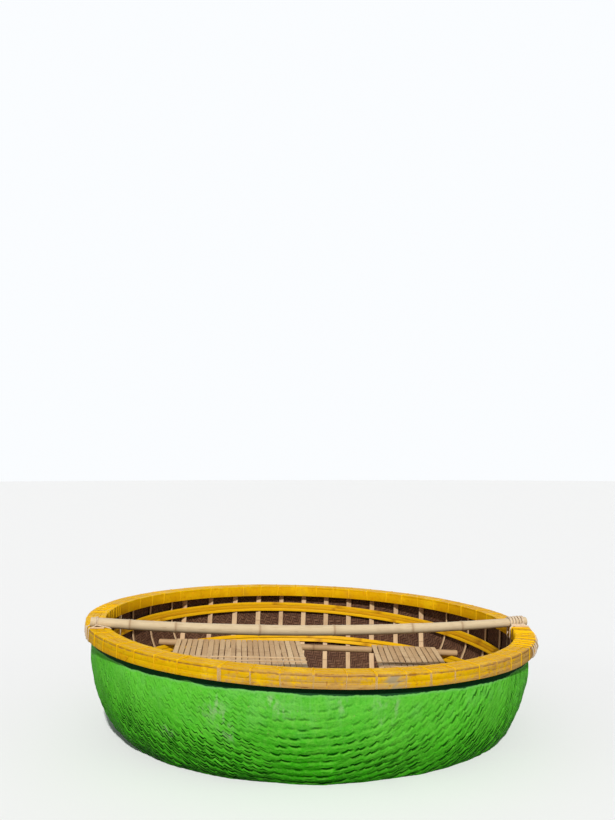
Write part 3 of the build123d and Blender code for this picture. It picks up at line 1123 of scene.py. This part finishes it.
def rib_line(place, inset, across):
    """A rib's middle line: where the bowl's wall, at an inset, crosses an upright plane."""
    widest = HULL_RADIUS - inset
    half = sqrt(widest ** 2 - place ** 2)
    along = half * np.sin(np.linspace(-1, 1, 241) * pi / 2)
    height = bowl_height(np.minimum(np.hypot(along, place), widest), inset)
    rise = np.linspace(COLLAR_END, RIM_UNDER, 8)[1:]
    along = np.concatenate([np.full_like(rise, -half), along, np.full_like(rise, half)])
    line = np.stack([along, np.full_like(along, place), np.concatenate([rise[::-1], height, rise])], 1)
    return line if across else line[:, [1, 0, 2]]


def rib_layer(name, node_name, inset, across, seed):
    """One layer of split-bamboo ribs, bent to the bowl."""
    draw = np.random.default_rng(seed)
    parts = []
    for number in range(RIB_COUNT):
        line = rib_line(RIB_FIRST + number * RIB_PITCH, inset + RIB_THICK / 2, across)
        rib, spots = split_strip(draw, RIB_WIDE, RIB_THICK - RIB_SINK, line_length(line), RIB_EASE)
        spots[:, 1] *= 1 + 0.06 * sway(spots[:, 0], 0.9, seed + number)
        spots[:, 2] += (1 - (2 * spots[:, 1] / RIB_WIDE) ** 2) * RIB_CROWN - RIB_SINK
        move_to(rib, spots)
        parts.append(lay_along(rib, line, (0, 1, 0) if across else (1, 0, 0)))
    assembled(parts, name, RIB_WOOD, "plain_bamboo", node_name)


def hoop(name, top, count, high, tilt, bearing):
    """A hoop of bent strips, one below the other, the ones between the outer two darker."""
    draw = np.random.default_rng(len(name) + count)
    inset = HULL_WALL + 2 * RIB_THICK + HOOP_THICK / 2
    turn = np.radians(np.linspace(0, 360, 361)) + radians(bearing) + pi
    slope = tan(radians(tilt)) * np.cos(turn - radians(bearing))
    parts = []
    for number in range(count):
        radius = np.full_like(turn, HOOP_GUESS)
        for _ in range(12):
            height = top + radius * slope - number * (high + HOOP_GROOVE) - high / 2
            radius = wall_radius(height, inset)
        line = around(radius, turn, height)
        below = around(wall_radius(height - HOOP_BELOW, inset), turn, height - HOOP_BELOW)
        tone = 0.9 if 0 < number < count - 1 else 0.1
        long = line_length(line) - HOOP_END_GAP
        strip, spots = split_strip(draw, high + HOOP_SWELL, HOOP_THICK, long, STRIP_EASE, tone)
        spots[:, 1] += sway(spots[:, 0], 0.7, 70 + number) * HOOP_SWAY
        move_to(strip, spots)
        parts.append(lay_along(strip, line, line - below))
    assembled(parts, name + "_strips", HOOP_WOOD, "yellow_bamboo", name)


# Bamboo poles

CULM_RING = 0.03
CULM_SIDES = 28
CULM_CLEAR = 0.014         # no even ring lies as close as this to a joint
CULM_SWAY = 0.008
CULM_WALL = 0.006
HOLLOW_DEEP = 0.030
HOLLOW_TAPER = 0.0008
JOINT_RINGS = (-0.009, -0.004, -0.001, 0.002, 0.006)
# The ridge at a joint, in parts: share of its rise, place from the joint, half length
JOINT_SHAPE = [(0.9, -0.004, 0.0022), (0.6, 0.002, 0.003), (-0.3, -0.0005, 0.0012), (0.25, 0.0, 0.02)]


def culm(lengths, joint_rise, draw, hollow=True):
    """A straight bamboo pole along X, its radius a little unlike from joint to joint, with a ridge at
    each joint. lengths holds where each length between two joints starts and ends, and its radius."""
    long = lengths[-1][1]
    joints = [start for start, _, _ in lengths[1:]]
    rings = list(np.linspace(0.02, long - 0.02, int(long / CULM_RING)))
    for joint in joints:
        rings = [p for p in rings if abs(p - joint) > CULM_CLEAR] + [joint + on for on in JOINT_RINGS]
    pole = straight_rod(1.0, np.array(sorted([0, 0.004] + rings + [long - 0.004, long])), CULM_SIDES)
    spots = spots_of(pole)
    along = spots[:, 0]
    middles = [(start + end) / 2 for start, end, _ in lengths]
    size = np.interp(along, middles, [radius for _, _, radius in lengths])
    size *= 1 + CULM_SWAY * sway(along, 0.5, 3)
    mark = np.zeros(len(spots))
    for joint in joints:
        for share, on, half in JOINT_SHAPE:
            size += share * joint_rise * hump(along - joint - on, half)
        mark = np.maximum(mark, hump(along - joint + 0.001, JOINT_WIDE))
    size *= 1 - 0.06 * ((along < 0.001) | (along > long - 0.001))
    spots[:, 1:] *= size[:, None]
    move_to(pole, spots)
    mark_points(pole, "joint", mark)
    if hollow:
        hollow_ends(pole)
    _, y, z = spots_of(pole).T
    mark_grain(pole, draw, 9, across=np.abs(np.arctan2(z, y)) * lengths[0][2])
    return pole


def hollow_ends(pole):
    """Sinks a round hollow into each end, the only faces with many corners."""
    edit(pole, "FACE")
    mesh = bmesh.from_edit_mesh(pole.data)
    for face in mesh.faces:
        face.select = len(face.verts) > 8
    bmesh.update_edit_mesh(pole.data)
    bpy.ops.mesh.inset(thickness=CULM_WALL, depth=0)
    bpy.ops.mesh.inset(thickness=HOLLOW_TAPER, depth=-HOLLOW_DEEP)
    stop_edit()


POLE_TURN = radians(11.6)
POLE_WAY = np.array([cos(POLE_TURN), sin(POLE_TURN), 0.0])
POLE_SIDE = np.array([-sin(POLE_TURN), cos(POLE_TURN), 0.0])
POLE_PLACE = -0.200
POLE_HALF = 0.972
POLE_SAG = 0.039
POLE_SEAT = 0.003
JOINT_RISE = 0.002
# the pole's lengths from joint to joint: where each starts and ends along it, and its radius
POLE_LENGTHS = [
    (-0.972, -0.811, 0.020), (-0.811, -0.621, 0.021), (-0.621, -0.263, 0.022), (-0.263, 0.066, 0.0225),
    (0.066, 0.423, 0.022), (0.423, 0.658, 0.021), (0.658, 0.972, 0.0195),
]


def pole_line(along):
    """The cross pole's axis at distances from its middle: bowed down, and laid a little askew."""
    bow = (POLE_HALF ** 2 + POLE_SAG ** 2) / (2 * POLE_SAG)
    rim_edge = sqrt(RIM_INSIDE ** 2 - POLE_PLACE ** 2)
    edge_rise = bow - sqrt(bow ** 2 - rim_edge ** 2)
    lift = RIM_TOP - POLE_SEAT + POLE_LENGTHS[-1][2] - edge_rise
    along = np.asarray(along, float)
    height = lift + bow - np.sqrt(bow ** 2 - along ** 2)
    return np.stack([along * cos(POLE_TURN) - POLE_PLACE * sin(POLE_TURN),
                     along * sin(POLE_TURN) + POLE_PLACE * cos(POLE_TURN), height], -1)


def cross_pole():
    draw = np.random.default_rng(3)
    line = pole_line(np.linspace(-POLE_HALF, POLE_HALF, 121))
    stretch = line_length(line) / (2 * POLE_HALF)
    lengths = [((start + POLE_HALF) * stretch, (end + POLE_HALF) * stretch, radius)
               for start, end, radius in POLE_LENGTHS]
    pole = lay_along(culm(lengths, JOINT_RISE, draw), line, POLE_SIDE)
    assembled([pole], "cross_pole_culm", POLE_WOOD, "pole_bamboo", "cross_pole")


# The bench

BEARER_RADIUS = 0.016
# node, distance from the middle, place of its first joint
BEARERS = [("bench_bearer_near", -0.150, 0.17), ("bench_bearer_far", 0.530, 0.19)]
BEARER_SINK = 0.002
BEARER_JOINTS = 0.31
BEARER_JOINT_RISE = 0.0012
SLAT_WIDE = 0.025
SLAT_PITCH = 0.028
SLAT_THICK = 0.008
SLAT_LONG = 0.715
SLAT_EASE = 0.002
BATTEN_WIDE = 0.014
BATTEN_THICK = 0.004
BATTEN_PLACES = (-0.095, -0.025)
TIE_RADIUS = 0.0011
TIE_EVERY = 3                  # slats from one tie to the next
# name, middle of the panel along X, number of slats, turn
PANELS = [("left", -0.335, 23, 4.8), ("right", 0.500, 12, 0.0)]


def bench_bearer(name, place, first):
    draw = np.random.default_rng(int(abs(place) * 1000))
    low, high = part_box(name)
    half = high.x
    line = np.array([(x, place, low.z + BEARER_RADIUS) for x in (-half, 0, half)])
    ends = [0] + list(np.arange(first, 2 * half - 0.05, BEARER_JOINTS)) + [2 * half]
    lengths = [(start, end, BEARER_RADIUS) for start, end in zip(ends, ends[1:])]
    pole = culm(lengths, BEARER_JOINT_RISE, draw, hollow=False)
    spots = spots_of(pole)
    spots[:, 2] = np.minimum(spots[:, 2], BEARER_RADIUS - BEARER_SINK + 0.0002)
    move_to(pole, spots)
    lay_along(pole, line, (0, 1, 0))
    assembled([pole], name + "_culm", BEARER_WOOD, "plain_bamboo", name)


def panel_place(middle, turn):
    depth = (BEARERS[0][1] + BEARERS[1][1]) / 2
    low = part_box("bench_slats_left")[0].z
    return np.array(Matrix.Translation((middle, depth, low)) @ Matrix.Rotation(radians(turn), 4, "Z"))


def in_panel(place, x, y, z):
    """Points of a panel, taken to where the panel lies."""
    return (np.stack([x, y, z, np.ones(len(x))], 1) @ place.T)[:, :3]


def bench_slats(name, middle, count, turn):
    """Split slats side by side, no two quite alike."""
    draw = np.random.default_rng(count)
    place = panel_place(middle, turn)
    parts = []
    for number in range(count):
        slat, spots = split_strip(draw, SLAT_WIDE, SLAT_THICK, SLAT_LONG, SLAT_EASE)
        spots[:, 1] *= 1 + 0.05 * sway(spots[:, 0], 0.5, number)
        spots[:, 2] += SLAT_THICK / 2 - 0.0003 * draw.random()
        side = (number - (count - 1) / 2) * SLAT_PITCH
        bow = sway(spots[:, 0], 1.3, 200 + number) * 0.0008
        move_to(slat, in_panel(place, side + bow - spots[:, 1], spots[:, 0] - SLAT_LONG / 2, spots[:, 2]))
        parts.append(slat)
    node_name = "bench_slats_" + name
    assembled(parts, node_name + "_split", BENCH_WOOD, "plain_bamboo", node_name)


def bench_battens(name, middle, count, turn):
    """Two thin battens across the slats, bound to them with line."""
    draw = np.random.default_rng(count + 1)
    place = panel_place(middle, turn)
    long = count * SLAT_PITCH
    parts, ties = [], []
    for along in BATTEN_PLACES:
        batten, spots = split_strip(draw, BATTEN_WIDE, BATTEN_THICK, long, STRIP_EASE)
        high = spots[:, 2] + SLAT_THICK + BATTEN_THICK / 2
        move_to(batten, in_panel(place, spots[:, 0] - long / 2, spots[:, 1] + along, high))
        parts.append(batten)
        for number in range(1, count, TIE_EVERY):
            ties.append(batten_tie((number - count / 2) * SLAT_PITCH, along, place, draw))
    node_name = "bench_battens_" + name
    assembled(parts, node_name + "_split", BENCH_WOOD, "plain_bamboo", node_name)
    assembled(ties, "bench_ties_" + name, PALE_LINE, "cord", angle=60)


def batten_tie(side, along, place, draw):
    """Line round a batten, down through the gap between two slats."""
    half = BATTEN_WIDE / 2 + 0.001
    top = SLAT_THICK + BATTEN_THICK + 0.0008
    ease = 0.001
    side_up = [(half, -0.0014), (half, 0.004), (half, top - ease), (half - ease, top)]
    loop = np.array([(-x, z) for x, z in side_up] + [(0, top + 0.0002)] + side_up[::-1]
                    + [(half - ease, -0.0020), (0, -0.0021), (-half + ease, -0.0020), (-half, -0.0014)])
    lean = draw.uniform(-0.0025, 0.0025) * np.sign(loop[:, 1] - 0.006)
    line = in_panel(place, side + lean, loop[:, 0] + along, loop[:, 1])
    tie = straight_rod(TIE_RADIUS, reach_of(line), 5)
    mark_grain(tie, draw, 3)
    return lay_along(tie, line, place[:3, 0])


# Lashings of the cross pole

CURVE_STEPS = 8            # points of a smooth curve from one chosen point to the next


def rope(points, radius, draw):
    """A round line through chosen points, on one smooth curve."""
    line = smooth_line(points)
    long = line_length(line)
    made = straight_rod(radius, np.linspace(0, long, max(6, int(long / (radius * 2.2)))), 8)
    mark_grain(made, draw, 3)
    return lay_along(made, line, twist_free(line))


def smooth_line(points):
    """Points on a smooth curve through the given ones."""
    points = np.asarray(points, float)
    ends = np.concatenate([[2 * points[0] - points[1]], points, [2 * points[-1] - points[-2]]])
    out = []
    for k in range(1, len(ends) - 2):
        a, b, c, d = ends[k - 1:k + 3]
        for t in np.linspace(0, 1, CURVE_STEPS, endpoint=False):
            out.append(0.5 * (2 * b + (c - a) * t + (2 * a - 5 * b + 4 * c - d) * t ** 2
                              + (3 * b - a - 3 * c + d) * t ** 3))
    out.append(points[-1])
    return np.array(out)


def twist_free(line):
    """A side direction at each point that turns as little as it can."""
    ahead = np.gradient(line, axis=0)
    ahead /= np.linalg.norm(ahead, axis=1)[:, None]
    side = np.cross(ahead[0], (0.3, 0.5, 0.8))
    sides = []
    for way in ahead:
        side = side - np.dot(side, way) * way
        side = side / np.linalg.norm(side)
        sides.append(side)
    return np.array(sides)


def crossing(point, way, radius):
    """How far along a level way from a point it leaves a circle about the boat's middle."""
    ahead = point[0] * way[0] + point[1] * way[1]
    return -ahead + sqrt(ahead ** 2 - (point[0] ** 2 + point[1] ** 2 - radius ** 2))


def hugging_turn(side, first, last, flank, thick, lift, draw):
    """A turn of line up the rim's outer face beside the pole, slanting over the pole, and down the
    rim's inner face on its other side. side is the pole's end, 1 or -1, first and last how far along
    the pole it climbs up and comes down, flank the side it climbs, and lift its layer."""
    way = POLE_WAY * side
    aside = POLE_SIDE * flank
    middle = pole_line(side * (first + last) / 2)
    radius = POLE_LENGTHS[0 if side < 0 else -1][2] + thick + lift
    beside = radius + 0.2 * thick

    def on(edge, lateral, out, high):
        start = middle + aside * lateral
        spot = start + way * (crossing(start, way, edge) + out)
        spot[2] = high
        return spot

    low, top, gap = RIM_UNDER - thick, RIM_TOP + thick, thick * 0.9
    wall = HULL_RADIUS - HULL_WALL / 2
    up = [(wall, 0, low), (RIM_RADIUS, -0.003, low), (RIM_RADIUS, gap, low + 0.005),
          (RIM_RADIUS, gap, RIM_TOP - 0.016), (RIM_RADIUS, gap * 0.8, RIM_TOP - 0.003),
          (RIM_RADIUS, -0.005, top)]
    down = [(RIM_INSIDE, 0.006, top), (RIM_INSIDE, -gap, RIM_TOP - 0.004),
            (RIM_INSIDE, -gap, RIM_TOP - 0.018), (RIM_INSIDE, -gap, low + 0.005),
            (RIM_INSIDE, 0.004, low), (wall, 0, low)]
    spots = [on(edge, beside, out, high) for edge, out, high in up]
    for turn in np.radians(np.linspace(-15, 195, 9)):
        share = (turn + radians(15)) / radians(210)
        spot = pole_line(side * (first + (last - first) * share)) + aside * radius * cos(turn)
        spots.append(spot + np.array([0, 0, radius * sin(turn)]))
    spots += [on(edge, -beside, out, high) for edge, out, high in down]
    return rope(spots, thick, draw)


# end of the pole, middle of the turns along it, how far they slant, turns each way, thickness
POLE_TIES = [(-1, 0.946, 0.002, 1, 0.0022), (1, 0.920, 0.006, 5, 0.0036)]
TIE_STEP = 0.0145


def pole_lashings():
    """Line that ties both ends of the cross pole down to the rim, side by side over it."""
    draw = np.random.default_rng(17)
    parts = []
    for side, middle, slant, turns, thick in POLE_TIES:
        for number in range(2 * turns):
            place = middle + (number / 2 - (turns - 0.5) / 2) * TIE_STEP + draw.uniform(-0.0008, 0.0008)
            lean = slant * draw.uniform(0.4, 1.0)
            flank = 1 if number % 2 else -1
            size = thick * draw.uniform(0.85, 1.15)
            lift = draw.uniform(0, 0.0016)
            parts.append(hugging_turn(side, place + lean, place - lean, flank, size, lift, draw))
    mark_points(assembled(parts, "pole_lashings", PALE_LINE, "cord", angle=60), "painted", 0.0)


# Slack turns round the rim beside the pole's ends: first bearing, step, turns, thickness, slack
SLACK_TURNS = [
    (335.0, 2.9, 8, 0.0034, 0.012), (191.5, 3.4, 4, 0.0024, 0.002), (172.0, 2.8, 5, 0.0024, 0.002),
]


def slack_turns():
    """Thicker turns of line round the rim beside the pole's two ends, painted over on top."""
    draw = np.random.default_rng(23)
    parts = []
    for start, step, count, thick, slack in SLACK_TURNS:
        for number in range(count):
            bearing = start + step * number + draw.uniform(-0.35, 0.35) * step
            parts.append(rim_turn(thick * draw.uniform(0.8, 1.1), bearing, draw.uniform(-0.02, 0.02), draw,
                                  slack * draw.uniform(0.4, 1.2), 8))
    mark_painted(assembled(parts, "rim_turns_beside_pole", PALE_LINE, "cord", angle=60), 0.1)


# Wedges driven in beside the pole's ends: from and to along the pole
WEDGES = [(-0.968, -0.915), (0.905, 0.968)]
WEDGE_WIDE = 0.011
WEDGE_THICK = 0.0055
WEDGE_BESIDE = 0.024


def pole_wedges():
    """A thin split wedge on the rim, hard up against the near side of each end of the pole."""
    draw = np.random.default_rng(61)
    parts = []
    for start, end in WEDGES:
        line = pole_line(np.linspace(start, end, 5)) - POLE_SIDE * WEDGE_BESIDE
        line[:, 2] = RIM_TOP + 0.0030
        wedge = straight_lath(WEDGE_WIDE, WEDGE_THICK, reach_of(line), 0.001)
        mark_grain(wedge, draw, 3, draw.random() * 0.3)
        mark_points(wedge, "joint", 0.0)
        parts.append(lay_along(wedge, line, -POLE_SIDE))
    assembled(parts, "pole_wedges", BENCH_WOOD, "plain_bamboo")


def hoop_ties():
    """The two ties keep their solids and get a twisted line's finish."""
    for name in ("hoop_tie_left", "hoop_tie_right"):
        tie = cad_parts[name]
        tie.data.materials.clear()
        tie.data.materials.append(TIE_LINE)


# Stage, light and camera

# The photograph's view, with the boat heeled a little
HEEL = radians(2.15)
TRIM = radians(0.07)
HEELED = Matrix.Rotation(TRIM, 4, "X") @ Matrix.Rotation(HEEL, 4, "Y")
RIM_FROM_CAMERA = Vector((0.0122, 3.834, -0.712))   # right, ahead and up
PHOTO_HIGH = 820           # in pixels
HORIZON_BELOW_MIDDLE = 53  # in pixels
SENSOR = 36.0              # in millimetres, and the lens has the same length
BACKDROP_LIGHT = 0.26      # how strongly the backdrop lights the boat, against how it shows
FLOOR_SIDES = 180
FLOOR_INSIDE = 0.9         # radius near which the floor meets the wall
FLOOR_REACH = 60.0
# name, toward the lamp, strength, angle across, tint
LAMPS = [
    ("key", (0.02, -1.0, 0.84), 3.75, 3.0, (1.0, 0.985, 0.96)),
    ("left fill", (-1.0, -0.25, 0.15), 0.45, 40.0, (1.0, 1.0, 1.0)),
    ("right fill", (1.0, -0.25, 0.15), 0.30, 40.0, (1.0, 1.0, 1.0)),
    ("back fill", (0.0, 1.0, 0.25), 0.25, 40.0, (1.0, 1.0, 1.0)),
]


def camera():
    """The photograph's camera, seen from the boat."""
    data = bpy.data.cameras.new("camera")
    data.sensor_width = SENSOR
    data.lens = SENSOR
    eye = bpy.data.objects.new("camera", data)
    bpy.context.scene.collection.objects.link(eye)
    boat = Matrix.Translation(RIM_FROM_CAMERA) @ HEELED @ Matrix.Translation((0, 0, -RIM_TOP))
    ahead = pi / 2 + atan(HORIZON_BELOW_MIDDLE / PHOTO_HIGH)
    eye.matrix_world = boat.inverted() @ Matrix.Rotation(ahead, 4, "X")
    bpy.context.scene.camera = eye


def seen_rays(tree):
    """1 for rays that show the floor or the backdrop themselves, 0 for the light that they throw."""
    rays = node(tree, "ShaderNodeLightPath")
    return highest(rays["Is Camera Ray"], rays["Is Glossy Ray"], rays["Is Transmission Ray"])


def floor():
    """A pale sheet at the waterline, level in the photograph's view and open inside the bowl."""
    bpy.ops.object.select_all(action="DESELECT")
    bpy.ops.mesh.primitive_circle_add(vertices=FLOOR_SIDES, radius=FLOOR_INSIDE, fill_type="NOTHING")
    sheet = started("floor")
    up = HEELED.inverted().to_3x3() @ Vector((0, 0, 1))
    spots = spots_of(sheet)
    turn = np.arctan2(spots[:, 1], spots[:, 0])
    radius = np.full_like(turn, FLOOR_INSIDE)
    for _ in range(30):
        height = -(up.x * np.cos(turn) + up.y * np.sin(turn)) * radius / up.z
        radius = wall_radius(height, HULL_WALL / 2)
    move_to(sheet, around(radius, turn, height))
    edit(sheet, "EDGE", "SELECT")
    bpy.ops.mesh.extrude_edges_move()
    bpy.ops.transform.resize(value=(FLOOR_REACH, FLOOR_REACH, FLOOR_REACH), center_override=(0, 0, 0))
    bpy.ops.mesh.select_all(action="SELECT")
    bpy.ops.mesh.normals_make_consistent(inside=False)
    stop_edit()
    finish, tree, shader = new_finish("pale floor", 0.0)
    feed(shader["Base Color"], mix(seen_rays(tree), (0.12, 0.14, 0.15, 1), (0.84, 0.85, 0.86, 1)))
    shader["Roughness"].default_value = 0.9
    sheet.data.materials.append(finish)


def studio():
    """A pale backdrop that throws little light, a high key lamp and three weak fills."""
    world = bpy.data.worlds.new("studio")
    bpy.context.scene.world = world
    world.use_nodes = True
    back = next(n for n in world.node_tree.nodes if n.type == "BACKGROUND").inputs
    back["Color"].default_value = (0.96, 0.98, 1.0, 1)
    strength = {"Value": seen_rays(world.node_tree), "To Min": BACKDROP_LIGHT, "To Max": 1.0}
    feed(back["Strength"], node(world.node_tree, "ShaderNodeMapRange", strength)[0])
    for name, toward, power, spread, tint in LAMPS:
        data = bpy.data.lights.new(name, "SUN")
        data.energy = power
        data.angle = radians(spread)
        data.color = tint
        lamp = bpy.data.objects.new(name, data)
        bpy.context.scene.collection.objects.link(lamp)
        lamp.rotation_euler = (-Vector(toward)).to_track_quat("-Z", "Y").to_euler()


woven_bowl()
for row in RIM_LATHS:
    rim_lath(*row)
rim_lashings()
rib_layer("ribs_across_split", "ribs_across", HULL_WALL, True, 41)
rib_layer("ribs_lengthways_split", "ribs_lengthways", HULL_WALL + RIB_THICK, False, 42)
for row in HOOPS:
    hoop(*row)
cross_pole()
for row in BEARERS:
    bench_bearer(*row)
for panel in PANELS:
    bench_slats(*panel)
    bench_battens(*panel)
pole_lashings()
slack_turns()
pole_wedges()
hoop_ties()
camera()
floor()
studio()

bpy.context.scene.view_settings.view_transform = "Standard"
